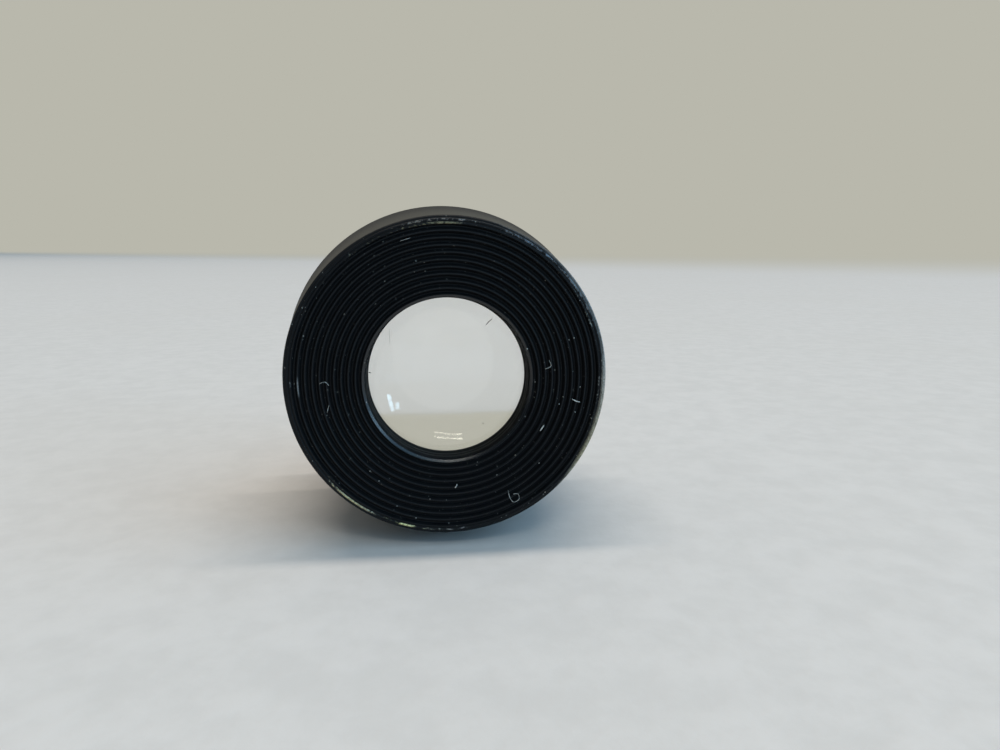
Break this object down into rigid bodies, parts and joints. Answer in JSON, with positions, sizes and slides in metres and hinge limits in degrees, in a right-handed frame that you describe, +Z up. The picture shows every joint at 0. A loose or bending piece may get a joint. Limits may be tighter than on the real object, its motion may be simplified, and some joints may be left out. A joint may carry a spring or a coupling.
{
  "type": "optical sight glass",
  "caption": "Short round eyepiece-type sight glass: ridged black eye cap that screws onto a body, two lens groups inside, threaded spigot at the rear. Everything behind the rim is inferred.",
  "frame": {"origin": "on the optical axis, at the mounting shoulder where the rear spigot begins", "axes": "+Y along the optical axis from the eye towards the instrument, +Z up, face of the eye cap towards -Y"},
  "size_m": [0.034, 0.0265, 0.034],
  "materials": {
    "lacquered_brass": "black lacquer over turned brass, worn to the metal along the rim",
    "blackened_ring": "matt black",
    "flint_glass": "polished, clear",
    "crown_glass": "polished, clear"
  },
  "bodies": {
    "body": {"body_tube": "lacquered_brass", "field_lens_crown": "crown_glass", "field_lens_flint": "flint_glass", "field_lens_retainer": "blackened_ring"},
    "eye_lens": {"eye_lens_flint": "flint_glass", "eye_lens_crown": "crown_glass"},
    "cap": {"eye_cap": "lacquered_brass", "eye_lens_retainer": "blackened_ring"}
  },
  "joints": [
    {"name": "cap_advance", "type": "slide", "parent": "body", "child": "eye_lens", "axis": [0, -1, 0], "range_m": [0, 0.0045]},
    {"name": "cap_turn", "type": "hinge", "parent": "eye_lens", "child": "cap", "pos_m": [0, 0, 0], "axis": [0, -1, 0], "range_deg": [0, 2160]}
  ],
  "couplings": [
    {"joint": "cap_advance", "follows": "cap_turn", "m_per_rad": 0.00011936}
  ]
}
